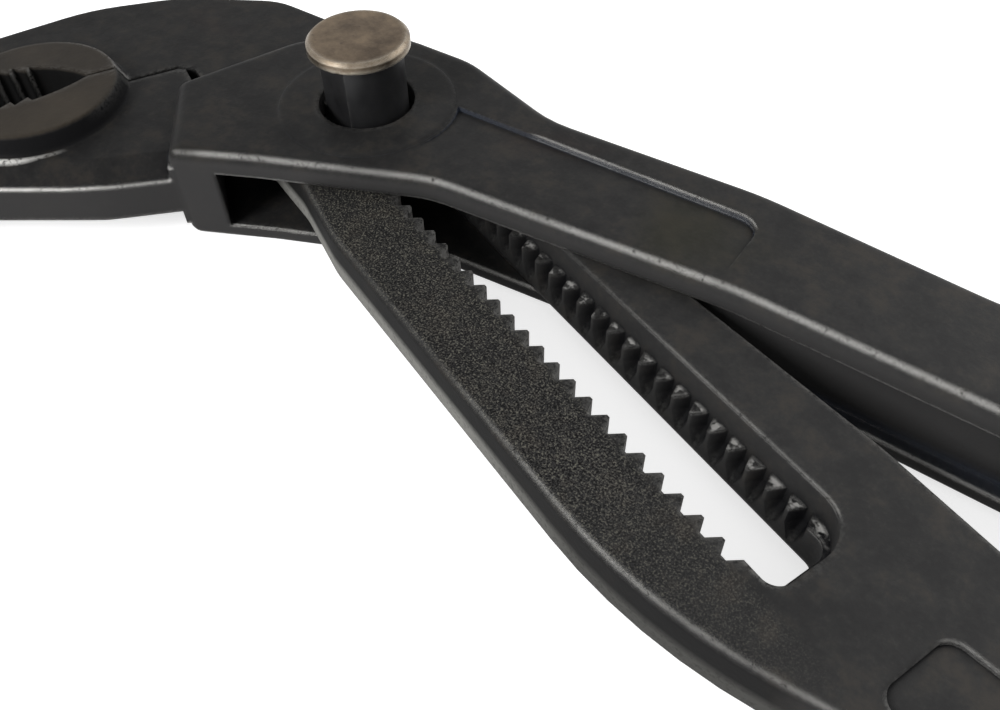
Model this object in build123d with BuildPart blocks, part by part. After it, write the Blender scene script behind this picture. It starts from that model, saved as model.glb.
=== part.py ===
from build123d import *
import os
from math import atan2, cos, degrees, hypot, radians, sin, sqrt

# Water pump pliers with a push-button pivot.
# X runs along the handles, Z along the pivot pin towards its button.
# The origin is on the pin's axis, in the plane of the box's back face.

# Driving dimensions in millimetres, angles in degrees

# Box head and cheeks
head_thickness = 15.2
cheek_thickness = 2.95
head_radius = 17.7
head_reach = 21.6
head_span = 46.0
edge_round = 2.0
channel_inset = 2.0
channel_corner = 1.0
pocket_round = 3.5
boss_radius = 12.8
boss_height = 0.35
panel_reach = 57.8
panel_far = 8.0
panel_hinge = -4.0
panel_depth = 0.75
panel_corner = 3.0

# Handles
handle_end = 328.0
handle_spread = 47.0
handle_offset = 4.0
handle_width = 14.4
handle_thickness = 10.4
handle_end_round = 5.8
grip_start = 142.0
grip_wall = 2.2
grip_thickness = 15.2
grip_chamfer = 3.2
taper_start = 98.0
arm_panel_start = 98.7
arm_panel_depth = 0.5
arm_panel_rim = 4.0

# Slotted web
slot_angle = 20.3
web_clearance = 0.15
web_half_width = 16.3
wall_clearance = 0.35
web_chamfer = 0.5
web_underside = 2.0
slot_half_width = 4.85
slot_reach = 86.0
slot_back = 8.2
slot_corner = 2.0
recess_floor = 0.8
recess_depth = 1.85
recess_reach = 87.0
recess_corner = 5.0
lip_height = 0.6
run_out_height = 2.4
tooth_pitch = 3.0
tooth_depth = 1.45
tooth_land = 0.45
valley_land = 0.7
rack_phase = 0.45
rack_reach = 84.0
rack_height = 2.9
relief_clearance = 0.15

# Jaws
jaw_angle = 236.4
jaw_root_shares = (-0.85565, -0.39978)
jaw_length = 47.0
jaw_thickness = 10.0
jaw_gap = 0.3
seam_gap = 0.7
seam_rise = 1.2
seam_shares = (0.28043, 0.58696)
jaw_round = 1.0
bevel_width = 4.0
bevel_height = 2.25
pad_radius = 12.2
pad_centre = 8.1
pad_slope = 1.2
grip_hollow_length = 26.0
upper_hollow = 6.2
lower_hollow = 3.9
hollow_tooth_pitch = 2.4
hollow_tooth = 1.1
front_tooth_pitch = 2.0
front_tooth = 0.8

# Pivot pin, button and spring
pin_radius = 6.85
pin_flat = 4.65
running_clearance = 0.05
stem_radius = 6.1
stem_step = 1.0
neck_radius = 3.7
pin_tooth_height = 2.5
pin_tooth_count = 5
press_stroke = 2.9
button_radius = 7.08
button_thickness = 1.5
button_height = 10.4
button_edge = 0.45
button_spigot_radius = 2.5
button_spigot_length = 4.0
spring_wire = 0.8
spring_turns = 2.5
washer_thickness = 0.4
clip_thickness = 0.8
clip_width = 2.3
clip_groove = 0.9
clip_mouth = 3.3
clip_seat_depth = 1.6
clip_seat_radius = 6.2
clip_play = 0.05

# One overrun serves all cuts
overrun = 1.0

# Outline corners as shares of the head's span: along X, along Y and the corner's radius
far_edge_shares = [
    (-0.272, 0.374, 0.385),
    (0.13, 0.381, 0.3),
    (0.52, 0.263, 0.385),
    (1.2, 0.304, 1.0),
    (1.83, 0.259, 1.0),
]
near_edge_shares = [
    (2.1, -0.116, 1.0),
    (1.304, -0.107, 1.0),
    (0.402, -0.197, 0.33),
    (-0.08, -0.41, 1.0),
    (-0.33, -0.535, 0.032),
    (-0.592, -0.257, 0.032),
]

# Jaw outlines as shares of the jaw's length: along the bite, outwards and the radius
lower_jaw_shares = [
    (-0.27, 0.532, 0.02),
    (-0.168, 0.5, 0.02),
    (0.055, 0.455, 1.0),
    (0.6, 0.235, 1.0),
    (1.0, 0.16, 0.05),
]
upper_jaw_shares = [
    (-0.689, -0.335, 0.25),
    (-0.356, -0.501, 0.5),
    (-0.034, -0.541, 0.6),
    (0.34, -0.457, 0.64),
    (0.65, -0.35, 0.64),
    (1.0, -0.19, 0.05),
]

# Web and lower handle as shares of the web's half width: along the slot, across and radius
web_near_shares = [
    (-1.85, -0.7, 0.2),
    (-1.0, -0.9, 1.2),
    (0.42, -0.9, 0.6),
    (1.16, -1.0, 1.2),
    (4.97, -1.0, 4.0),
    (6.55, -0.31, 2.5),
]
web_far_shares = [(5.01, 1.0, 2.5), (3.27, 0.9, 2.5), (-0.79, 0.88, 0.37), (-1.85, 0.42, 0.2)]

# Sizes worked out from the ones above
mid = head_thickness / 2
window_height = head_thickness - 2 * cheek_thickness
web_thickness = window_height - 2 * web_clearance
web_top = mid + web_thickness / 2
web_bottom = mid - web_thickness / 2
root_half_width = slot_half_width + tooth_depth
handle_half = handle_width / 2
pad_rise = (head_thickness - jaw_thickness) / 2
seam_across = web_half_width + jaw_gap / 2
seam_back = head_span * seam_shares[0]
seam_corner = head_span * seam_shares[1]
jaw_root_x = head_span * jaw_root_shares[0]
jaw_root_y = head_span * jaw_root_shares[1]
turn = radians(slot_angle)
bite_turn = radians(jaw_angle)


def slot_point(along, across):
    """Model place of a point measured along and across the slot, from the pin."""
    x = along * cos(turn) + across * sin(turn)
    y = across * cos(turn) - along * sin(turn)
    return (x, y)


def jaw_point(along, outward):
    """Model place of a point along the bite line; outward is the lower jaw's side."""
    x = jaw_root_x + along * cos(bite_turn) - outward * sin(bite_turn)
    y = jaw_root_y + along * sin(bite_turn) + outward * cos(bite_turn)
    return (x, y)


def level(height):
    """Horizontal plane at a height above the back face."""
    return Plane.XY.offset(height)


def slot_level(height):
    """Horizontal plane whose local x runs along the slot."""
    return Plane(origin=(0, 0, height), x_dir=(cos(turn), -sin(turn), 0), z_dir=(0, 0, 1))


def jaw_face(side):
    """Face plane of the jaws, local x along the bite; side is 1 for the front, -1 for the back."""
    return Plane(
        origin=(jaw_root_x, jaw_root_y, mid + side * jaw_thickness / 2),
        x_dir=(cos(bite_turn), sin(bite_turn), 0),
        z_dir=(0, 0, side),
    )


def outline(corners):
    """Closed outline through corners, each a place and the radius that rounds it."""
    places = [(x, y) for (x, y), radius in corners]
    radii = [radius for place, radius in corners]
    FilletPolyline(*places, radius=radii, close=True)


def hollow_wall(along, depth):
    """Depth of the pipe grip's arched wall at a place along the bite line."""
    half = grip_hollow_length / 2
    radius = (half * half + depth * depth) / (2 * depth)
    return sqrt(radius * radius - (along - half) ** 2) - radius + depth


def bite_profile(depth):
    """Toothed edge of one jaw from the root to the tip, as depths from the bite line."""
    points = [(0, 0)]
    smooth_steps = 4
    for step in range(1, smooth_steps + 1):
        along = pad_centre * step / smooth_steps
        points.append((along, hollow_wall(along, depth)))
    tooth_count = int((grip_hollow_length - pad_centre) / hollow_tooth_pitch)
    for tooth in range(tooth_count):
        along = pad_centre + tooth * hollow_tooth_pitch
        crest = along + hollow_tooth_pitch / 4
        wall = hollow_wall(crest, depth)
        points.append((crest, wall - min(hollow_tooth, wall / 2)))
        points.append((along + hollow_tooth_pitch, hollow_wall(along + hollow_tooth_pitch, depth)))
    start = points[-1][0] + front_tooth_pitch
    points.append((start, 0))
    front_count = int((jaw_length - start - front_tooth_pitch) / front_tooth_pitch)
    for tooth in range(front_count):
        along = start + tooth * front_tooth_pitch
        points.append((along + front_tooth_pitch / 2, front_tooth))
        points.append((along + front_tooth_pitch, 0))
    points.append((jaw_length + overrun, 0))
    return points


def bite_side(depth, side):
    """Edge of one jaw from tip to box; side is 1 for the lower jaw, -1 for the upper."""
    half_gap = side * jaw_gap / 2
    half_seam = side * seam_gap / 2
    points = []
    for along, cut in reversed(bite_profile(depth)):
        points.append(jaw_point(along, half_gap + side * cut))
    points.append(jaw_point(-seam_back, half_seam - seam_rise))
    points.append(slot_point(-seam_corner, -seam_across - half_seam))
    points.append(slot_point(-head_reach, -seam_across - half_gap))
    return points


def rack_profile(first, count, tip, root):
    """Rack teeth along the slot with flat lands, valley first, closed on the slot's line."""
    points = [(first - valley_land / 2, 0)]
    for tooth in range(count):
        along = first + tooth * tooth_pitch
        points.append((along - valley_land / 2, root))
        points.append((along + valley_land / 2, root))
        points.append((along + (tooth_pitch - tooth_land) / 2, tip))
        points.append((along + (tooth_pitch + tooth_land) / 2, tip))
    points.append((points[-1][0], 0))
    return points


# Lower jaw, forged on to the near side of the box
with BuildPart() as lower_jaw:
    with BuildSketch(level(mid)):
        with BuildLine():
            corners = [
                (jaw_point(jaw_length, -pad_centre), jaw_round),
                (jaw_point(-seam_back, -pad_centre), jaw_round),
                (slot_point(-head_reach - jaw_gap, -seam_across - cheek_thickness / 2), jaw_round),
            ]
            for along, outward, radius in lower_jaw_shares:
                corners.append((jaw_point(jaw_length * along, jaw_length * outward), jaw_length * radius))
            outline(corners)
        make_face()
    extrude(amount=jaw_thickness / 2, both=True)

    # Bevels that leave a narrow side face along the outer edge
    edge_places = [jaw_point(jaw_length * p[0], jaw_length * p[1]) for p in lower_jaw_shares[1:]]
    for start, end in zip(edge_places, edge_places[1:]):
        run = (end[0] - start[0], end[1] - start[1], 0)
        rim = jaw_thickness / 2 - bevel_height
        for side in (1, -1):
            with BuildSketch(Plane(origin=(*start, mid), x_dir=(-run[1], run[0], 0), z_dir=run)):
                with BuildLine():
                    Polyline(
                        (0, side * rim),
                        (-bevel_width, side * jaw_thickness / 2),
                        (-bevel_width, side * (jaw_thickness / 2 + overrun)),
                        (overrun, side * (jaw_thickness / 2 + overrun)),
                        (overrun, side * rim),
                        close=True,
                    )
                make_face()
            extrude(amount=hypot(*run), mode=Mode.SUBTRACT)
    for side in (1, -1):
        with BuildSketch(jaw_face(side)):
            with Locations((pad_centre, 0)):
                Circle(pad_radius + pad_slope)
        extrude(amount=pad_rise, taper=degrees(atan2(pad_slope, pad_rise)))
    with BuildSketch(level(mid)):
        with BuildLine():
            bite = bite_side(lower_hollow, 1)
            bite.append(slot_point(-head_reach, head_radius))
            bite.append(jaw_point(jaw_length + overrun, -head_span))
            Polyline(*bite, close=True)
        make_face()
    extrude(amount=head_thickness, both=True, mode=Mode.SUBTRACT)


# Box arm: cheeks, lower jaw and upper handle in one forging
handle_far = handle_offset + handle_half
handle_near = handle_offset - handle_half
thinning = (head_thickness - handle_thickness) / 2

with BuildPart() as box_arm:
    with BuildSketch(level(mid)):
        with BuildLine():
            corners = [
                (slot_point(-head_reach, -tooth_depth), head_radius / 2),
                (slot_point(-head_reach, -seam_across), channel_corner),
            ]
            for along, across, radius in reversed(near_edge_shares):
                corners.append(((head_span * along, head_span * across), head_span * radius))
            corners += [
                ((grip_start, handle_near), head_span),
                ((handle_end, handle_near), handle_end_round),
                ((handle_end, handle_far), handle_end_round),
                ((grip_start, handle_far), head_span),
            ]
            for along, across, radius in reversed(far_edge_shares):
                corners.append(((head_span * along, head_span * across), head_span * radius))
            outline(corners)
        make_face()
    extrude(amount=mid, both=True)
    fillet(box_arm.faces().filter_by(Axis.Z).edges(), edge_round)

    # The handle thins towards the grip
    for side in (1, -1):
        with BuildSketch(Plane.XZ):
            with BuildLine():
                Polyline(
                    (taper_start, mid + side * mid),
                    (grip_start, mid + side * (mid - thinning)),
                    (handle_end + overrun, mid + side * (mid - thinning)),
                    (handle_end + overrun, mid + side * (mid + overrun)),
                    (taper_start, mid + side * (mid + overrun)),
                    close=True,
                )
            make_face()
        extrude(amount=head_span, both=True, mode=Mode.SUBTRACT)

    # Low boss around the pivot, with a sloping rim
    with BuildSketch(level(head_thickness)):
        Circle(boss_radius)
    extrude(amount=boss_height)
    chamfer(box_arm.faces().sort_by(Axis.Z)[-1].edges(), boss_height * 0.9)

    # Panel that sinks from nothing at its near side to its full depth at the far side
    slope = atan2(panel_depth, panel_far - panel_hinge)
    tilted = Plane(
        origin=(0, panel_hinge, head_thickness),
        x_dir=(1, 0, 0),
        z_dir=(0, sin(slope), cos(slope)),
    )
    with BuildSketch(tilted):
        with BuildLine():
            far = panel_far - panel_hinge
            outline(
                [
                    ((0, 0), panel_corner),
                    ((panel_reach, 0), panel_corner),
                    ((panel_reach, far), panel_corner),
                    ((0, far - edge_round), panel_corner),
                ]
            )
        make_face()
        with Locations((0, -panel_hinge)):
            Circle(boss_radius + boss_height, mode=Mode.SUBTRACT)
    extrude(amount=overrun, mode=Mode.SUBTRACT)

    # Window through the box for the web, running out as a channel under the handle
    with BuildSketch(level(mid)):
        with BuildLine():
            wall = web_half_width + wall_clearance
            channel_y = head_span * near_edge_shares[1][1] + channel_inset
            wall_end = (wall * cos(turn) - channel_y) / sin(turn)
            beyond = head_span * 1.5
            outline(
                [
                    (slot_point(head_radius / 3, head_span), channel_corner),
                    (slot_point(head_radius / 3, wall), channel_inset),
                    (slot_point(wall_end, wall), head_radius),
                    ((taper_start, channel_y), pocket_round),
                    ((taper_start, -beyond), channel_corner),
                    (slot_point(-web_clearance, -beyond), channel_corner),
                    (slot_point(-web_clearance, -head_span * 0.52), channel_corner),
                    (slot_point(-head_reach - jaw_gap * 3, -seam_across - jaw_gap / 2), channel_corner),
                    (slot_point(-head_span, -seam_across - jaw_gap / 2), channel_corner),
                    (slot_point(-head_span, head_span), channel_corner),
                ]
            )
        make_face()
    extrude(amount=window_height / 2, both=True, mode=Mode.SUBTRACT)
    add(lower_jaw.part)

    # Bores for the pivot pin, and the clip's seat in the back
    with BuildSketch(level(head_thickness + overrun)):
        Circle(pin_radius + running_clearance)
    extrude(amount=-(head_thickness / 2), mode=Mode.SUBTRACT)
    with BuildSketch(level(-overrun)):
        Circle(neck_radius + running_clearance)
    extrude(amount=head_thickness / 2, mode=Mode.SUBTRACT)
    with BuildSketch(level(-overrun)):
        Circle(clip_seat_radius)
    extrude(amount=clip_seat_depth + overrun, mode=Mode.SUBTRACT)


# Upper jaw, forged on to the end of the slotted web
upper_reach = head_reach - web_clearance

with BuildPart() as upper_jaw:
    with BuildSketch(level(mid)):
        with BuildLine():
            corners = [
                (slot_point(-upper_reach, -head_span / 2), jaw_round),
                (slot_point(-upper_reach, upper_reach * 0.22), upper_reach),
                (slot_point(-upper_reach * 0.85, upper_reach * 0.55), jaw_round),
            ]
            for along, outward, radius in upper_jaw_shares:
                corners.append((jaw_point(jaw_length * along, jaw_length * outward), jaw_length * radius))
            corners.append((jaw_point(jaw_length, pad_centre), jaw_round))
            corners.append((jaw_point(0, pad_centre), jaw_round))
            outline(corners)
        make_face()
    extrude(amount=jaw_thickness / 2, both=True)
    chamfer(upper_jaw.faces().filter_by(Axis.Z).edges(), jaw_round)
    for side in (1, -1):
        with BuildSketch(jaw_face(side)):
            with Locations((pad_centre, 0)):
                Circle(pad_radius + pad_slope)
        extrude(amount=pad_rise, taper=degrees(atan2(pad_slope, pad_rise)))
    with BuildSketch(level(mid)):
        with BuildLine():
            bite = bite_side(upper_hollow, -1)
            bite.append(slot_point(-head_reach / 2, -seam_across + jaw_gap / 2))
            bite.append(slot_point(-head_reach / 2, -head_span))
            bite.append(jaw_point(jaw_length + overrun, head_span))
            Polyline(*bite, close=True)
        make_face()
    extrude(amount=head_thickness, both=True, mode=Mode.SUBTRACT)


# Slotted arm: upper jaw, toothed web and lower handle in one forging
lower_far = handle_offset - handle_spread + handle_half
lower_near = handle_offset - handle_spread - handle_half
recess_width = slot_half_width + recess_depth
first_valley = rack_phase - 2 * tooth_pitch
tooth_count = round((rack_reach - first_valley) / tooth_pitch)

with BuildPart() as slotted_arm:
    with BuildSketch(level(mid)):
        with BuildLine():
            corners = []
            for along, across, radius in web_near_shares:
                place = slot_point(web_half_width * along, web_half_width * across)
                corners.append((place, web_half_width * radius))
            corners += [
                ((grip_start, lower_near), head_span),
                ((handle_end, lower_near), handle_end_round),
                ((handle_end, lower_far), handle_end_round),
                ((grip_start, lower_far), head_span),
            ]
            for along, across, radius in web_far_shares:
                place = slot_point(web_half_width * along, web_half_width * across)
                corners.append((place, web_half_width * radius))
            outline(corners)
        make_face()
    extrude(amount=web_thickness / 2, both=True)
    chamfer(slotted_arm.faces().sort_by(Axis.Z)[0].edges(), web_underside)
    chamfer(slotted_arm.faces().sort_by(Axis.Z)[-1].edges(), web_chamfer)
    add(upper_jaw.part)

    # The slot, clear from face to face between the tips of both racks
    with BuildSketch(slot_level(mid)):
        with Locations(((slot_reach - slot_back) / 2, 0)):
            RectangleRounded(slot_reach + slot_back, slot_half_width * 2, slot_corner)
    extrude(amount=head_thickness, both=True, mode=Mode.SUBTRACT)

    # Near rack: teeth in the upper zone, relieved to the root below them
    with BuildSketch(slot_level(web_top - rack_height)):
        with BuildLine():
            Polyline(*rack_profile(first_valley, tooth_count, -slot_half_width, -root_half_width), close=True)
        make_face()
    extrude(amount=rack_height + overrun, mode=Mode.SUBTRACT)
    relief_width = root_half_width + relief_clearance
    with BuildSketch(slot_level(web_top - rack_height)):
        with Locations(((rack_reach + first_valley) / 2, -relief_width / 2)):
            Rectangle(rack_reach - first_valley, relief_width)
    extrude(amount=-(web_thickness - rack_height + overrun), mode=Mode.SUBTRACT)

    # Far side: a recess from the top face down to the second row of teeth
    with BuildSketch(slot_level(mid + recess_floor)):
        with BuildLine():
            outline(
                [
                    ((-slot_back / 2, -slot_half_width), slot_corner),
                    ((recess_reach, -slot_half_width), slot_corner),
                    ((recess_reach, recess_width), recess_corner),
                    ((-slot_back / 2, recess_width), slot_corner),
                ]
            )
        make_face()
    extrude(amount=head_thickness, mode=Mode.SUBTRACT)

    # Valleys of the second row, running out towards the bottom lip
    run_out_base = web_bottom + lip_height
    run_out = (recess_depth * sin(turn), recess_depth * cos(turn), run_out_height)
    with BuildSketch(slot_level(run_out_base)):
        with BuildLine():
            tips = slot_half_width - recess_depth
            Polyline(*rack_profile(first_valley, tooth_count, tips, slot_half_width), close=True)
        make_face()
    extrude(amount=hypot(*run_out), dir=run_out, mode=Mode.SUBTRACT)
    with BuildSketch(slot_level(run_out_base + run_out_height)):
        with BuildLine():
            Polyline(*rack_profile(first_valley, tooth_count, slot_half_width, recess_width), close=True)
        make_face()
    extrude(amount=head_thickness, mode=Mode.SUBTRACT)

    # Shallow panel along the handle, square to the slot at its start
    with BuildSketch(level(web_top)) as arm_panel:
        with BuildLine():
            Polyline(
                slot_point(arm_panel_start, -recess_corner),
                (grip_start, lower_near + arm_panel_rim),
                (grip_start, lower_far - arm_panel_rim),
                slot_point(arm_panel_start, recess_corner),
                close=True,
            )
        make_face()
        fillet(arm_panel.vertices(), arm_panel_rim / 2)
    extrude(amount=-arm_panel_depth, mode=Mode.SUBTRACT)


# Pivot pin: toothed on its near side, flattened where it drops into the slot
tooth_base = web_top - (rack_height - pin_tooth_height) / 2 - pin_tooth_height - running_clearance
button_base = head_thickness + button_height - button_thickness
clip_top = clip_seat_depth - clip_play
clip_base = clip_top - clip_thickness

with BuildPart() as pivot_pin:
    with BuildSketch(level(clip_base - clip_thickness / 2)):
        Circle(neck_radius)
    extrude(amount=tooth_base - clip_base + clip_thickness / 2)
    with BuildSketch(level(clip_base - clip_play / 2)):
        Circle(neck_radius)
        Circle(neck_radius - clip_groove, mode=Mode.SUBTRACT)
    extrude(amount=clip_thickness + clip_play, mode=Mode.SUBTRACT)

    # Toothed length, its teeth standing in the valleys of the near rack
    with BuildSketch(slot_level(tooth_base)):
        Circle(pin_radius)
        with Locations((0, pin_flat - pin_radius)):
            Rectangle(pin_radius * 3, pin_radius * 2, mode=Mode.INTERSECT)
        with BuildLine():
            crest = relief_clearance - root_half_width
            valley = relief_clearance - slot_half_width
            teeth = rack_profile(first_valley, pin_tooth_count, valley, crest)[1:-1]
            teeth.append((teeth[-1][0], -pin_radius * 2))
            teeth.append((teeth[0][0], -pin_radius * 2))
            Polyline(*teeth, close=True)
        make_face(mode=Mode.SUBTRACT)
    extrude(amount=pin_tooth_height)

    # Flattened length above the teeth, then the slimmer stem with the same flats
    stem_base = head_thickness - stem_step
    for radius, base, top in (
        (pin_radius, tooth_base + pin_tooth_height, stem_base),
        (stem_radius, stem_base, button_base),
    ):
        with BuildSketch(slot_level(base)):
            Circle(radius)
            Rectangle(pin_radius * 3, pin_flat * 2, mode=Mode.INTERSECT)
        extrude(amount=top - base)
    with BuildSketch(level(button_base)):
        Circle(button_spigot_radius)
    extrude(amount=-button_spigot_length, mode=Mode.SUBTRACT)


# Button cap pressed into the pin's stem
with BuildPart() as button_cap:
    with BuildSketch(level(button_base)):
        Circle(button_radius)
    extrude(amount=button_thickness)
    chamfer(button_cap.faces().sort_by(Axis.Z)[-1].edges(), button_edge)
    with BuildSketch(level(button_base)):
        Circle(button_spigot_radius - running_clearance)
    extrude(amount=-(button_spigot_length - running_clearance))


# Return spring around the pin's neck, between the back cheek and the toothed length
washer_base = cheek_thickness + running_clearance / 2
spring_base = washer_base + washer_thickness
spring_radius = neck_radius + spring_wire / 2 + running_clearance * 2
spring_height = tooth_base - spring_base - spring_wire

with BuildPart() as return_spring:
    with BuildLine(level(spring_base + spring_wire / 2)) as coil:
        Helix(pitch=spring_height / spring_turns, height=spring_height, radius=spring_radius)
    with BuildSketch(Plane(origin=coil.line @ 0, z_dir=coil.line % 0)):
        RegularPolygon(spring_wire / 2 - running_clearance / 2, 4)
    sweep(path=coil.line, is_frenet=True)

with BuildPart() as spring_washer:
    with BuildSketch(level(washer_base)):
        Circle(slot_half_width - wall_clearance)
        Circle(neck_radius + running_clearance, mode=Mode.SUBTRACT)
    extrude(amount=washer_thickness)

# Retaining clip in the groove of the pin's lower end
with BuildPart() as retaining_ring:
    with BuildSketch(slot_level(clip_base)):
        Circle(neck_radius - clip_groove + clip_width)
        Circle(neck_radius - clip_groove + running_clearance, mode=Mode.SUBTRACT)
        with Locations((neck_radius, 0)):
            Rectangle(neck_radius * 2, clip_mouth, mode=Mode.SUBTRACT)
    extrude(amount=clip_thickness)


# Dipped grips on both handles
grip_length = handle_end + grip_wall - grip_start
grip_centre = (grip_start + handle_end + grip_wall) / 2

with BuildPart() as box_arm_grip:
    with BuildSketch(level(mid)):
        with Locations((grip_centre, handle_offset)):
            RectangleRounded(grip_length, handle_width + 2 * grip_wall, handle_half)
    extrude(amount=grip_thickness / 2, both=True)
    chamfer(box_arm_grip.faces().filter_by(Axis.Z).edges(), grip_chamfer)
    add(box_arm.part, mode=Mode.SUBTRACT)

with BuildPart() as slotted_arm_grip:
    with BuildSketch(level(mid)):
        with Locations((grip_centre, handle_offset - handle_spread)):
            RectangleRounded(grip_length, handle_width + 2 * grip_wall, handle_half)
    extrude(amount=grip_thickness / 2, both=True)
    chamfer(slotted_arm_grip.faces().filter_by(Axis.Z).edges(), grip_chamfer)
    add(slotted_arm.part, mode=Mode.SUBTRACT)


pieces = {
    "box_arm": box_arm,
    "slotted_arm": slotted_arm,
    "pivot_pin": pivot_pin,
    "button_cap": button_cap,
    "return_spring": return_spring,
    "spring_washer": spring_washer,
    "retaining_ring": retaining_ring,
    "box_arm_grip": box_arm_grip,
    "slotted_arm_grip": slotted_arm_grip,
}

os.makedirs("parts", exist_ok=True)
for name, piece in pieces.items():
    piece.part.label = name
    export_step(piece.part, f"parts/{name}.step")
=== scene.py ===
from math import cos, radians, sin

import bpy
from mathutils import Matrix, Vector

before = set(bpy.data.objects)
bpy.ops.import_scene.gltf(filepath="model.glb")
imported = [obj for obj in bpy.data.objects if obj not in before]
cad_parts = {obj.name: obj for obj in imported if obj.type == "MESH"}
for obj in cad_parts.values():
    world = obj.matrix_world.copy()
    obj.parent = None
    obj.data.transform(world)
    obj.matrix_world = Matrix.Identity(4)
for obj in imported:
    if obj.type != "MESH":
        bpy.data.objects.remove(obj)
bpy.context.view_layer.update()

MM = 0.001

# Camera, as solved from the photograph: position, heading, height angle, tilt and lens
CAMERA_PLACE = (82.87 * MM, -80.21 * MM, 92.81 * MM)
CAMERA_AZIMUTH = radians(37.0)
CAMERA_ELEVATION = radians(49.784)
CAMERA_ROLL = radians(-1.752)
LENS_MM = 33.354
SENSOR_MM = 36.0
NEAR_CLIP = 5 * MM

# Studio: what the lamps face, where they stand, their size and power, and the surround's level
LIT_POINT = (50 * MM, -10 * MM, 8 * MM)
KEY_PLACE = (-150 * MM, -560 * MM, 400 * MM)
KEY_SIZE = 260 * MM
KEY_POWER = 3.4
BACK_PLACE = (250 * MM, 560 * MM, 480 * MM)
BACK_SIZE = 450 * MM
BACK_POWER = 1.6
SURROUND_LEVEL = 0.45

# Floor: half its side, level, colour, roughness, and how much of its white glows by itself
FLOOR_HALF = 4.0
FLOOR_LEVEL = -0.2 * MM
FLOOR_COLOUR = (0.8, 0.8, 0.8, 1.0)
FLOOR_ROUGHNESS = 0.9
FLOOR_GLOW = 0.7

# Directions of the tool, and the pin's axis
ALONG_TOOL = (1.0, 0.0, 0.0)
ACROSS_TOOL = (0.0, 1.0, 0.0)
UPRIGHT = (0.0, 0.0, 1.0)
PIN_AXIS = (0.0, 0.0, 0.0)

# Slot frame of the slotted arm: the turn of its slot, and its directions along and across it
SLOT_TURN = radians(20.3)
SLOT_ALONG = (cos(SLOT_TURN), -sin(SLOT_TURN), 0.0)
SLOT_ACROSS = (sin(SLOT_TURN), cos(SLOT_TURN), 0.0)

# Near rail: its sandy zone and the painted shade on its rack, across the slot, and the zone's ends
# along it
SAND_ACROSS = (-5.4 * MM, -7.0 * MM)
RACK_SHADE = (-7.4 * MM, -5.8 * MM)
SLOT_SIDE = (0.0, -1.0 * MM)
SAND_END = (98.0 * MM, 64.0 * MM)
SAND_START = (2.0 * MM, 14.0 * MM)

# Painted reflection of the floor, in a strip along the foot of the near rail's outer wall, and
# where it fades
STRIP_ACROSS = (-9.0 * MM, -11.0 * MM)
STRIP_HEIGHT = (8.6 * MM, 7.0 * MM)
STRIP_FADE = (50.0 * MM, 72.0 * MM)

# Far rack's tooth tips, where the painted glints lie, across and along the slot and in height
TIPS_NEAR = (4.5 * MM, 4.9 * MM)
TIPS_FAR = (6.8 * MM, 6.2 * MM)
TIPS_END = (86.0 * MM, 84.0 * MM)
TIPS_HEIGHT = (11.9 * MM, 11.6 * MM)

# Ends along the tool of the painted shade at the jaws and the painted sheen at the handles
SHADE_TO_SHEEN_ENDS = (-70.0 * MM, 110.0 * MM)

# Ground pads beside the bite: centre, radius, height above the middle of the thickness, dark
# skirt around the rim, and the ring of painted highlight at its foot
PAD_CENTRE = (-43.84 * MM, -25.14 * MM, 0.0)
PAD_RADIUS = 12.2 * MM
PAD_SOFTNESS = 0.4 * MM
MIDDLE_HEIGHT = 7.6 * MM
PAD_HEIGHT = 7.0 * MM
SKIRT_INNER = (12.2 * MM, 12.4 * MM)
SKIRT_OUTER = (13.8 * MM, 13.5 * MM)
RING_INNER = (13.5 * MM, 13.9 * MM)
RING_OUTER = (14.7 * MM, 14.2 * MM)
RING_SIDE = (-30.0 * MM, -36.0 * MM)

# Crests with painted highlights over real worn steel: the level direction that they face, the jaws'
# place along the tool and the level that they stay under, the distance from the pin's axis beyond
# which the crests are painted, the line beyond which those of the jaw and the box are, and where
# the near rail's begin
HIGHLIGHT_SIDE = (0.0, -1.0, 0.0)
JAW_ZONE = (-8.0 * MM, -12.0 * MM)
JAW_LEVEL = (13.6 * MM, 13.1 * MM)
BOSS_EDGE = (13.5 * MM, 14.5 * MM)
NEAR_ACROSS = (-0.617, 0.787, 0.0)
NEAR_EDGE = (-8.8 * MM, -10.0 * MM)
RAIL_HIGHLIGHT = (45.0 * MM, 65.0 * MM)

# Forging: rounding of its edges, reach of its crests and of its hollows, heights of its relief
FORGED_EDGE = 1.0 * MM
CREST_REACH = 2.2 * MM
HOLLOW_REACH = 9.0 * MM
WAVE_HEIGHT = 0.12 * MM
GRAIN_HEIGHT = 0.03 * MM
SAND_HEIGHT = 0.16 * MM

# Noises of the forging: features to a metre, detail, roughness and offset
PATCHES = (45.0, 5.0, 0.65)
GRAIN = (1700.0, 4.0, 0.7)
WAVES = (160.0, 2.0, 0.5)
OLIVE_SPOTS = (28.0, 3.0, 0.5, 3.0)
RUSSET_SPOTS = (34.0, 3.0, 0.5, 7.0)
BLOTCHES = (230.0, 4.0, 0.7, 4.0)
SAND_GRAINS = (4400.0, 1.0, 0.8, 5.0)
WEAR_GAPS = (90.0, 2.0, 0.5, 2.0)
GLINT_SPOTS = (750.0, 2.0, 0.6, 6.0)

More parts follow.
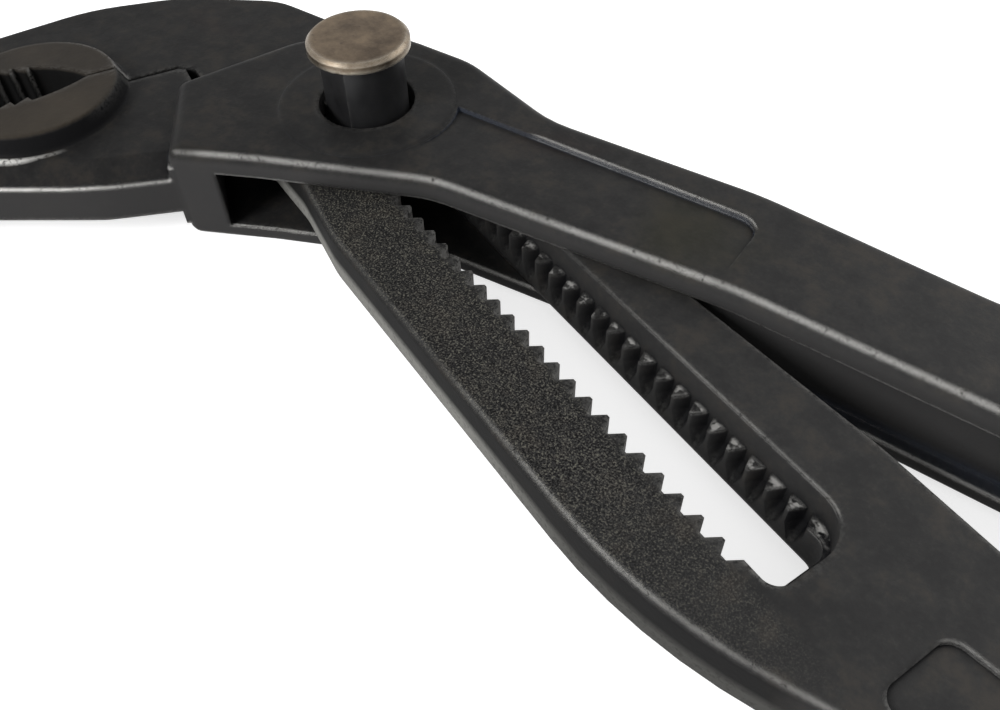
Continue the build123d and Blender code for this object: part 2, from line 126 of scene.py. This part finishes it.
# Colours of the forging, in shares of red, green and blue
BLACK = (0.0, 0.0, 0.0)
WHITE = (1.0, 1.0, 1.0)
SCALE_DARK = (0.014, 0.0135, 0.0132)
SCALE_LIGHT = (0.021, 0.0205, 0.02)
GRAIN_LIGHT = (0.036, 0.035, 0.033)
BLOTCH_LIGHT = (0.036, 0.031, 0.026)
BLOTCH_DARK = (0.0095, 0.009, 0.0095)
OLIVE = (0.026, 0.025, 0.012)
RUSSET = (0.032, 0.021, 0.018)
# Painted light: the lighter grey of the walls, as lit by the floor
PAINTED_WALL_LIGHT = (0.048, 0.047, 0.047)
# Painted shade in the recesses
RECESS_SHADE = (0.0045, 0.0046, 0.0056)
# Painted dim blue light deep in the box
INNER_BLUE_LIGHT = (0.15, 0.18, 0.25)
# Painted shade on the near rail's rack
RACK_SHADE_BLACK = (0.007, 0.007, 0.0075)
# Painted glints on the light sand grains
SAND_GLINT = (0.13, 0.125, 0.103)
SAND_DARK = (0.006, 0.006, 0.006)
# Painted reflection of the floor along the foot of the near rail's wall
FLOOR_REFLECTION_GREY = (0.2, 0.198, 0.185)
PAD_DARK = (0.022, 0.0185, 0.015)
PAD_LIGHT = (0.042, 0.035, 0.027)
SKIRT_BLACK = (0.006, 0.006, 0.0065)
# Bare steel, for real wear and for painted highlights and glints
WORN_STEEL_AND_HIGHLIGHT = (0.72, 0.71, 0.68)

# How far painted shade darkens the jaws' end and painted sheen lightens the handles' end, how far
# the walls of the box arm and of the slotted arm are painted a lighter grey as painted light, how
# dark the painted shade on the near rail's rack is, and how dark the near rail's wall is
PAINTED_SHADE_SHARE = 0.5
PAINTED_SHEEN_SHARE = 0.022
BOX_WALL_LIGHT_SHARE = 0.85
SLOTTED_WALL_LIGHT_SHARE = 0.2
RACK_SHADE_SHARE = 0.6
FLANK_SHARE = 0.85

# How strong each kind of wear and each painted highlight and glint is, as a share of bare steel
RUBBED_SHARE = 0.05
RING_HIGHLIGHT_SHARE = 0.75
GLINT_SHARE = 0.6
BOX_FAR_SHARE = 0.05
SLOTTED_FAR_SHARE = 0.3
METALLIC_SHARE = 0.5

# Roughness of the forging on its flats, from patch to patch, and on its walls
FLAT_ROUGHNESS = (0.36, 0.48)
WALL_ROUGHNESS = (0.7, 0.7, 0.7)

# Button: noises, colours, roughness, wear's reach, rounding of edges and height of its spots
TARNISH = (170.0, 5.0, 0.7)
TARNISH_SPOTS = (700.0, 3.0, 0.7)
NICKEL_DARK = (0.062, 0.043, 0.027)
NICKEL_LIGHT = (0.2, 0.15, 0.1)
NICKEL_SPOT = (0.05, 0.036, 0.027)
NICKEL_WORN = (0.62, 0.57, 0.48)
NICKEL_ROUGHNESS = (0.3, 0.48)
NICKEL_METALLIC = 0.95
RIM_REACH = 0.8 * MM
BUTTON_EDGE = 0.4 * MM
SPOT_HEIGHT = 0.02 * MM

# Turned steel of the pin and the small pieces, and the colours of each, dark and light
OIL_PATCHES = (150.0, 4.0, 0.6)
TURNING = (1500.0, 3.0, 0.6)
TURNED_WORN = (0.4, 0.39, 0.37)
TURNED_ROUGHNESS = (0.28, 0.42)
TURNED_REACH = 0.5 * MM
TURNED_EDGE = 0.2 * MM
TURNING_HEIGHT = 0.01 * MM
PIN_COLOURS = ((0.012, 0.012, 0.013), (0.024, 0.024, 0.025))
PIN_METALLIC = 0.2
ZINC_COLOURS = ((0.16, 0.16, 0.16), (0.34, 0.34, 0.33))
ZINC_METALLIC = 0.9

# Sleeves: noises, colours, roughness, reach of the polish, rounding of edges, pebbles' height
SLEEVE_PATCHES = (90.0, 4.0, 0.6)
PEBBLES = (1100.0, 2.0, 0.5)
VINYL_DARK = (0.014, 0.015, 0.018)
VINYL_LIGHT = (0.022, 0.023, 0.027)
VINYL_POLISHED = (0.06, 0.06, 0.062)
VINYL_ROUGHNESS = (0.46, 0.6)
POLISH_REACH = 1.5 * MM
SLEEVE_EDGE = 0.6 * MM
PEBBLE_HEIGHT = 0.05 * MM

# Mirror strength of each material, as a share of the usual
FORGED_MIRROR = 0.05
TURNED_MIRROR = 0.3
VINYL_MIRROR = 0.2


def make_camera():
    """Camera at the photograph's place, set as the scene's camera."""
    data = bpy.data.cameras.new("view")
    data.lens = LENS_MM
    data.sensor_width = SENSOR_MM
    data.clip_start = NEAR_CLIP
    camera = bpy.data.objects.new("view", data)
    bpy.context.scene.collection.objects.link(camera)
    heading = Matrix.Rotation(CAMERA_AZIMUTH, 4, "Z")
    tilt = Matrix.Rotation(radians(90) - CAMERA_ELEVATION, 4, "X")
    roll = Matrix.Rotation(CAMERA_ROLL, 4, "Z")
    camera.matrix_world = Matrix.Translation(CAMERA_PLACE) @ heading @ tilt @ roll
    bpy.context.scene.camera = camera


def area_light(name, place, size, power):
    """Soft square lamp at a place, facing the middle of the pliers."""
    data = bpy.data.lights.new(name, "AREA")
    data.shape = "SQUARE"
    data.size = size
    data.energy = power
    light = bpy.data.objects.new(name, data)
    bpy.context.scene.collection.objects.link(light)
    direction = Vector(LIT_POINT) - Vector(place)
    light.rotation_euler = direction.to_track_quat("-Z", "Y").to_euler()
    light.location = place


def background_ray(tree):
    """Socket that is one where a ray shows the background itself, or its mirror image."""
    path = tree.nodes.new("ShaderNodeLightPath")
    total = path.outputs["Is Camera Ray"]
    for other in ("Is Glossy Ray", "Is Transmission Ray"):
        either = tree.nodes.new("ShaderNodeMath")
        either.operation = "MAXIMUM"
        tree.links.new(total, either.inputs[0])
        tree.links.new(path.outputs[other], either.inputs[1])
        total = either.outputs[0]
    return total


def make_surround():
    """Low pale surround that looks white where it is seen."""
    world = bpy.data.worlds.new("surround")
    world.use_nodes = True
    tree = world.node_tree
    background = tree.nodes["Background"]
    background.inputs["Color"].default_value = (1.0, 1.0, 1.0, 1.0)
    level = tree.nodes.new("ShaderNodeMapRange")
    level.inputs["To Min"].default_value = SURROUND_LEVEL
    tree.links.new(background_ray(tree), level.inputs["Value"])
    tree.links.new(level.outputs["Result"], background.inputs["Strength"])
    bpy.context.scene.world = world


class Nodes:
    """Short helper that adds and links the nodes of one material."""

    def __init__(self, name):
        self.material = bpy.data.materials.new(name)
        self.material.use_nodes = True
        self.tree = self.material.node_tree
        self.shader = self.tree.nodes["Principled BSDF"]
        self.place = self.add("ShaderNodeTexCoord").outputs["Object"]

    def add(self, kind, **settings):
        """Adds a node, and sets its properties and inputs to values or sockets."""
        node = self.tree.nodes.new(kind)
        for key, value in settings.items():
            if key in node.bl_rna.properties:
                setattr(node, key, value)
            else:
                self.put(node.inputs[key.replace("_", " ")], value)
        return node

    def put(self, target, value):
        """Sets an input to a value, or links a socket to it."""
        if isinstance(value, bpy.types.NodeSocket):
            self.tree.links.new(value, target)
        elif target.type == "RGBA":
            target.default_value = (*value[:3], 1.0)
        else:
            target.default_value = value

    def noise(self, scale, detail, roughness, offset=0.0):
        """Noise over the object's own coordinates, from zero to one."""
        place = self.place
        if offset:
            place = self.add("ShaderNodeVectorMath", operation="ADD", Vector=place).outputs[0]
            place.node.inputs[1].default_value = (offset, offset, offset)
        return self.add(
            "ShaderNodeTexNoise", Vector=place, Scale=scale, Detail=detail, Roughness=roughness
        ).outputs["Fac"]

    def ramp(self, value, low, high, start=0.0, end=1.0):
        """Straight ramp between two values, held level beyond them."""
        node = self.add("ShaderNodeMapRange", Value=value, From_Min=low, From_Max=high)
        node.inputs["To Min"].default_value = start
        node.inputs["To Max"].default_value = end
        return node.outputs["Result"]

    def maths(self, operation, first, second):
        """Result of one arithmetic step."""
        node = self.add("ShaderNodeMath", operation=operation)
        self.put(node.inputs[0], first)
        self.put(node.inputs[1], second)
        return node.outputs[0]

    def product(self, *values):
        """Product of several sockets or numbers."""
        total = values[0]
        for value in values[1:]:
            total = self.maths("MULTIPLY", total, value)
        return total

    def mix(self, factor, first, second):
        """Blend of two colours."""
        node = self.add("ShaderNodeMix", data_type="RGBA")
        self.put(node.inputs[0], factor)
        self.put(node.inputs[6], first)
        self.put(node.inputs[7], second)
        return node.outputs[2]

    def along(self, direction):
        """Distance along a direction, in the object's own coordinates."""
        node = self.add("ShaderNodeVectorMath", operation="DOT_PRODUCT")
        self.put(node.inputs[0], self.place)
        self.put(node.inputs[1], direction)
        return node.outputs["Value"]

    def facing(self, normal, direction):
        """How far a world normal points along a direction that turns with the object."""
        turned = self.add(
            "ShaderNodeVectorTransform",
            vector_type="NORMAL",
            convert_from="WORLD",
            convert_to="OBJECT",
        )
        self.put(turned.inputs[0], normal)
        node = self.add("ShaderNodeVectorMath", operation="DOT_PRODUCT")
        self.put(node.inputs[0], turned.outputs[0])
        self.put(node.inputs[1], direction)
        return node.outputs["Value"]

    def crest(self, reach):
        """Rises from zero on flat faces to about a half on outer edges, within a reach of them."""
        node = self.add(
            "ShaderNodeAmbientOcclusion", inside=True, only_local=True, samples=4, Distance=reach
        )
        return self.maths("SUBTRACT", 1.0, node.outputs["AO"])

    def hollow(self, reach):
        """Rises from zero in the open to one deep in corners and recesses."""
        node = self.add("ShaderNodeAmbientOcclusion", only_local=True, samples=4, Distance=reach)
        return self.maths("SUBTRACT", 1.0, node.outputs["AO"])

    def soften(self, radius):
        """Normal of the surface with its edges rounded by a radius."""
        return self.add("ShaderNodeBevel", Radius=radius, samples=5).outputs["Normal"]

    def finish(self, colour, roughness, height, normal):
        """Links colour, roughness and a height in metres over softened edges."""
        self.put(self.shader.inputs["Base Color"], colour)
        self.put(self.shader.inputs["Roughness"], roughness)
        bump = self.add("ShaderNodeBump", Height=height, Distance=1.0, Strength=1.0)
        self.put(bump.inputs["Normal"], normal)
        self.put(self.shader.inputs["Normal"], bump.outputs["Normal"])
        return self.material


def make_floor():
    """Plain pale floor that looks white, with a faint shadow under the pliers."""
    mesh = bpy.data.meshes.new("floor")
    signs = ((-1, -1), (1, -1), (1, 1), (-1, 1))
    corners = [(FLOOR_HALF * right, FLOOR_HALF * away, FLOOR_LEVEL) for right, away in signs]
    mesh.from_pydata(corners, [], [(0, 1, 2, 3)])
    floor = bpy.data.objects.new("floor", mesh)
    bpy.context.scene.collection.objects.link(floor)
    nodes = Nodes("floor_white")
    nodes.shader.inputs["Base Color"].default_value = FLOOR_COLOUR
    nodes.shader.inputs["Roughness"].default_value = FLOOR_ROUGHNESS
    nodes.shader.inputs["Emission Color"].default_value = (1.0, 1.0, 1.0, 1.0)
    glow = nodes.maths("MULTIPLY", background_ray(nodes.tree), FLOOR_GLOW)
    nodes.put(nodes.shader.inputs["Emission Strength"], glow)
    mesh.materials.append(nodes.material)


class Forging(Nodes):
    """Blackened forging: what its layers share, in the arm's own coordinates."""

    def __init__(self, name, sandy):
        super().__init__(name)
        self.sandy = sandy
        self.normal = self.soften(FORGED_EDGE)
        self.patches = self.noise(*PATCHES)
        self.grain = self.noise(*GRAIN)
        self.crests = self.crest(CREST_REACH)
        self.depth = self.hollow(HOLLOW_REACH)
        self.level = self.maths("ABSOLUTE", self.facing(self.normal, UPRIGHT), 0.0)
        self.wall = self.ramp(self.level, 0.6, 0.3)
        self.x = self.along(ALONG_TOOL)
        self.z = self.along(UPRIGHT)
        self.slot_along = self.along(SLOT_ALONG)
        self.slot_across = self.along(SLOT_ACROSS)
        self.flat_place = self.add("ShaderNodeVectorMath", operation="MULTIPLY").outputs[0]
        self.put(self.flat_place.node.inputs[0], self.place)
        self.put(self.flat_place.node.inputs[1], (1.0, 1.0, 0.0))
        self.away = self.distance(PAD_CENTRE)

    def distance(self, centre):
        """Level distance from an upright axis through a centre."""
        node = self.add("ShaderNodeVectorMath", operation="DISTANCE")
        self.put(node.inputs[0], self.flat_place)
        self.put(node.inputs[1], centre)
        return node.outputs["Value"]

    def mottled(self):
        """Colour of the scale: patches, grain, blotches, painted shade towards the jaws and painted
        sheen towards the handles, and a trace of olive and russet.
        """
        colour = self.mix(self.ramp(self.patches, 0.3, 0.7), SCALE_DARK, SCALE_LIGHT)
        colour = self.mix(self.ramp(self.grain, 0.5, 0.75, 0.0, 0.5), colour, GRAIN_LIGHT)
        blotches = self.noise(*BLOTCHES)
        colour = self.mix(self.ramp(blotches, 0.5, 0.66, 0.0, 0.8), colour, BLOTCH_LIGHT)
        colour = self.mix(self.ramp(blotches, 0.5, 0.36, 0.0, 0.7), colour, BLOTCH_DARK)
        # Shaded and lit copies of the scale: painted shade at the jaws' end, painted sheen at the
        # handles' end
        shaded_scale = self.mix(PAINTED_SHADE_SHARE, colour, BLACK)
        lit_scale = self.mix(PAINTED_SHEEN_SHARE, colour, WHITE)
        colour = self.mix(self.ramp(self.x, *SHADE_TO_SHEEN_ENDS), shaded_scale, lit_scale)
        olive = self.ramp(self.noise(*OLIVE_SPOTS), 0.6, 0.72, 0.0, 0.4)
        colour = self.mix(olive, colour, OLIVE)
        russet = self.ramp(self.noise(*RUSSET_SPOTS), 0.6, 0.72, 0.0, 0.35)
        return self.mix(russet, colour, RUSSET)

    def shaded(self, colour):
        """Paints the walls a lighter grey as painted light, paints shade into the recesses, and
        paints dim blue light deep in the box.
        """
        share = SLOTTED_WALL_LIGHT_SHARE if self.sandy else BOX_WALL_LIGHT_SHARE
        # Painted light: walls turned a lighter grey, as lit by the floor
        colour = self.mix(self.product(self.wall, share), colour, PAINTED_WALL_LIGHT)
        # Painted shade, darkening corners and recesses
        colour = self.mix(self.ramp(self.depth, 0.22, 0.45), colour, RECESS_SHADE)
        if not self.sandy:
            # Painted dim blue light deep inside the box
            colour = self.mix(self.ramp(self.depth, 0.68, 0.88), colour, INNER_BLUE_LIGHT)
        return colour

    def railed(self, colour, height):
        """Adds the near rail's sandy top with painted glints, painted shade on its rack, and its
        wall with a painted reflection of the floor.
        """
        zone_along = self.product(
            self.ramp(self.slot_along, *SAND_END),
            self.ramp(self.slot_along, *SAND_START),
            self.ramp(self.level, 0.6, 0.9),
        )
        # Painted shade along the near rail's rack
        rack_shade = self.product(self.ramp(self.slot_across, *RACK_SHADE), zone_along, RACK_SHADE_SHARE)
        rack_shade = self.product(rack_shade, self.ramp(self.slot_across, *SLOT_SIDE))
        colour = self.mix(rack_shade, colour, RACK_SHADE_BLACK)
        zone = self.product(self.ramp(self.slot_across, *SAND_ACROSS), zone_along)
        sand = self.noise(*SAND_GRAINS)
        # Light grains are painted glints, dark grains are pits
        colour = self.mix(self.product(zone, self.ramp(sand, 0.55, 0.7)), colour, SAND_GLINT)
        colour = self.mix(self.product(zone, self.ramp(sand, 0.5, 0.38)), colour, SAND_DARK)
        height = self.maths("ADD", height, self.product(zone, sand, SAND_HEIGHT))
        flank = self.product(self.ramp(self.slot_across, *STRIP_ACROSS), self.wall)
        colour = self.mix(self.product(flank, FLANK_SHARE), colour, SAND_DARK)
        # Painted reflection of the floor along the foot of the wall
        floor_reflection = self.product(
            flank,
            self.ramp(self.z, *STRIP_HEIGHT),
            self.ramp(self.grain, 0.3, 0.5, 0.5, 1.0),
            self.ramp(self.slot_along, *STRIP_FADE, 1.0, 0.3),
        )
        return self.mix(floor_reflection, colour, FLOOR_REFLECTION_GREY), height

    def padded(self, colour):
        """Adds the ground brown pad beside the bite, and the dark skirt around it."""
        side = self.maths("SUBTRACT", self.z, MIDDLE_HEIGHT)
        height = self.maths("ABSOLUTE", side, 0.0)
        pad = self.product(
            self.ramp(self.away, PAD_RADIUS + PAD_SOFTNESS, PAD_RADIUS),
            self.ramp(height, PAD_HEIGHT, PAD_HEIGHT + PAD_SOFTNESS),
        )
        brown = self.mix(self.ramp(self.patches, 0.4, 0.65), PAD_DARK, PAD_LIGHT)
        colour = self.mix(pad, colour, brown)
        skirt = self.product(
            self.ramp(self.away, *SKIRT_INNER),
            self.ramp(self.away, *SKIRT_OUTER),
            self.ramp(self.level, 0.9, 0.7),
        )
        return self.mix(skirt, colour, SKIRT_BLACK)

    def highlighted_crests(self):
        """Mask of the crests that face the near side, worn to bare steel and painted with
        highlights.
        """
        slope = self.maths("SUBTRACT", 1.001, self.product(self.level, self.level))
        slope = self.maths("POWER", slope, 0.5)
        turned = self.maths("DIVIDE", self.facing(self.normal, HIGHLIGHT_SIDE), slope)
        jaw = self.product(self.ramp(self.x, *JAW_ZONE), self.ramp(self.z, *JAW_LEVEL))
        low_band = self.product(self.ramp(self.level, 0.4, 0.55), self.ramp(self.level, 0.84, 0.77))
        high_band = self.product(
            self.ramp(self.level, 0.72, 0.82), self.ramp(self.level, 0.965, 0.92)
        )
        on_jaw = self.product(jaw, low_band)
        on_rest = self.product(self.ramp(jaw, 1.0, 0.0), high_band)
        # Painted highlight on the crests that face the lit near side, over real worn steel
        highlight = self.product(
            self.ramp(self.crests, 0.0, 0.05),
            self.ramp(turned, 0.5, 0.75),
            self.maths("ADD", on_jaw, on_rest),
            self.ramp(self.depth, 0.6, 0.3, 0.1, 1.0),
            self.ramp(self.grain, 0.3, 0.44),
            self.ramp(self.noise(*WEAR_GAPS), 0.3, 0.5, 0.6, 1.0),
            self.ramp(self.distance(PIN_AXIS), *BOSS_EDGE),
            self.ramp(self.along(NEAR_ACROSS), *NEAR_EDGE),
        )
        if self.sandy:
            highlight = self.product(highlight, self.ramp(self.slot_along, *RAIL_HIGHLIGHT, 0.1, 0.5))
        return highlight

    def far_crests(self):
        """Mask of the crests that face across the slot and are slightly worn."""
        return self.product(
            self.ramp(self.crests, 0.06, 0.2),
            self.ramp(self.facing(self.normal, SLOT_ACROSS), 0.3, 0.5),
            self.ramp(self.grain, 0.36, 0.5),
            SLOTTED_FAR_SHARE if self.sandy else BOX_FAR_SHARE,
        )

    def rubbed_edges(self):
        """Mask of the faint rub on every edge."""
        return self.product(
            self.ramp(self.crests, 0.25, 0.45),
            self.ramp(self.grain, 0.4, 0.56),
            self.ramp(self.level, 0.2, 0.5),
            RUBBED_SHARE,
        )

    def pad_ring_highlight(self):
        """Mask of the ring of painted highlight at the foot of the pad's skirt, on its near side.
        """
        return self.product(
            self.ramp(self.away, *RING_INNER),
            self.ramp(self.away, *RING_OUTER),
            self.ramp(self.along(ACROSS_TOOL), *RING_SIDE),
            self.ramp(self.grain, 0.34, 0.48),
            RING_HIGHLIGHT_SHARE,
        )

    def glints(self):
        """Mask of the painted glints on the far rack's tooth tips."""
        return self.product(
            self.ramp(self.slot_across, *TIPS_NEAR),
            self.ramp(self.slot_across, *TIPS_FAR),
            self.ramp(self.slot_along, *TIPS_END),
            self.ramp(self.slot_along, *SAND_START),
            self.ramp(self.z, *TIPS_HEIGHT),
            self.ramp(self.level, 0.75, 0.92),
            self.ramp(self.noise(*GLINT_SPOTS), 0.5, 0.6),
            GLINT_SHARE,
        )

    def wear_and_highlights(self):
        """Mask of all the wear and the painted highlights and glints, each place as bright as its
        brightest layer.
        """
        masks = [self.rubbed_edges(), self.far_crests(), self.highlighted_crests(), self.pad_ring_highlight()]
        if self.sandy:
            masks.append(self.glints())
        bright_mask = masks[0]
        for mask in masks[1:]:
            bright_mask = self.maths("MAXIMUM", bright_mask, mask)
        return bright_mask


def forged_steel(name, sandy):
    """Blackened forging: mottled, softly waved, finely grained, worn bright on some crests, with
    painted shade, sheen, highlights and glints.
    """
    steel = Forging(name, sandy)
    colour = steel.shaded(steel.mottled())
    waves = steel.product(steel.noise(*WAVES), WAVE_HEIGHT)
    height = steel.maths("ADD", waves, steel.product(steel.grain, GRAIN_HEIGHT))
    if sandy:
        colour, height = steel.railed(colour, height)
    # Real wear together with painted highlights and glints, laid in bare steel
    bright_mask = steel.wear_and_highlights()
    colour = steel.mix(bright_mask, steel.padded(colour), WORN_STEEL_AND_HIGHLIGHT)
    flat_roughness = steel.ramp(steel.patches, 0.3, 0.7, *FLAT_ROUGHNESS)
    roughness = steel.mix(steel.wall, flat_roughness, WALL_ROUGHNESS)
    steel.put(steel.shader.inputs["Metallic"], steel.product(bright_mask, METALLIC_SHARE))
    steel.shader.inputs["Specular IOR Level"].default_value = FORGED_MIRROR
    return steel.finish(colour, roughness, height, steel.normal)


def tarnished_nickel(name):
    """Button metal: yellowish tarnish in patches, small dark spots, and a bright worn rim."""
    nodes = Nodes(name)
    patches = nodes.noise(*TARNISH)
    spots = nodes.noise(*TARNISH_SPOTS)
    colour = nodes.mix(nodes.ramp(patches, 0.35, 0.68), NICKEL_DARK, NICKEL_LIGHT)
    colour = nodes.mix(nodes.ramp(spots, 0.62, 0.74, 0.0, 0.7), colour, NICKEL_SPOT)
    rim = nodes.ramp(nodes.crest(RIM_REACH), 0.15, 0.4)
    bright_mask = nodes.product(rim, nodes.ramp(spots, 0.3, 0.5, 0.4, 1.0))
    colour = nodes.mix(bright_mask, colour, NICKEL_WORN)
    roughness = nodes.ramp(patches, 0.3, 0.7, *NICKEL_ROUGHNESS)
    nodes.shader.inputs["Metallic"].default_value = NICKEL_METALLIC
    height = nodes.product(spots, SPOT_HEIGHT)
    return nodes.finish(colour, roughness, height, nodes.soften(BUTTON_EDGE))


def turned_steel(name, colours, metallic):
    """Turned or rolled steel with oil-dark patches and a fine grain."""
    nodes = Nodes(name)
    patches = nodes.noise(*OIL_PATCHES)
    grain = nodes.noise(*TURNING)
    colour = nodes.mix(nodes.ramp(patches, 0.35, 0.65), *colours)
    edge = nodes.ramp(nodes.crest(TURNED_REACH), 0.2, 0.45)
    bright_mask = nodes.product(edge, nodes.ramp(grain, 0.4, 0.6), 0.5)
    colour = nodes.mix(bright_mask, colour, TURNED_WORN)
    nodes.shader.inputs["Metallic"].default_value = metallic
    nodes.shader.inputs["Specular IOR Level"].default_value = TURNED_MIRROR
    roughness = nodes.ramp(patches, 0.3, 0.7, *TURNED_ROUGHNESS)
    height = nodes.product(grain, TURNING_HEIGHT)
    return nodes.finish(colour, roughness, height, nodes.soften(TURNED_EDGE))


def dipped_vinyl(name):
    """Soft dark sleeve with a fine pebbled skin and slightly polished edges."""
    nodes = Nodes(name)
    patches = nodes.noise(*SLEEVE_PATCHES)
    colour = nodes.mix(nodes.ramp(patches, 0.3, 0.7), VINYL_DARK, VINYL_LIGHT)
    polished = nodes.product(nodes.ramp(nodes.crest(POLISH_REACH), 0.1, 0.5), 0.3)
    colour = nodes.mix(polished, colour, VINYL_POLISHED)
    roughness = nodes.ramp(patches, 0.3, 0.7, *VINYL_ROUGHNESS)
    nodes.shader.inputs["Specular IOR Level"].default_value = VINYL_MIRROR
    height = nodes.product(nodes.noise(*PEBBLES), PEBBLE_HEIGHT)
    return nodes.finish(colour, roughness, height, nodes.soften(SLEEVE_EDGE))


def dress(node, material):
    """Gives a CAD node its material."""
    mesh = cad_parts[node].data
    mesh.materials.clear()
    mesh.materials.append(material)


def main():
    bpy.context.scene.view_settings.view_transform = "Standard"
    make_camera()
    area_light("key", KEY_PLACE, KEY_SIZE, KEY_POWER)
    area_light("back", BACK_PLACE, BACK_SIZE, BACK_POWER)
    make_surround()
    make_floor()
    blackened = turned_steel("pin_look", PIN_COLOURS, PIN_METALLIC)
    zinc = turned_steel("spring_look", ZINC_COLOURS, ZINC_METALLIC)
    sleeve = dipped_vinyl("sleeve_look")
    dress("box_arm", forged_steel("box_arm_look", False))
    dress("slotted_arm", forged_steel("slotted_arm_look", True))
    dress("pivot_pin", blackened)
    dress("button_cap", tarnished_nickel("button_look"))
    for small in ("return_spring", "spring_washer", "retaining_ring"):
        dress(small, zinc)
    for grip in ("box_arm_grip", "slotted_arm_grip"):
        dress(grip, sleeve)


main()
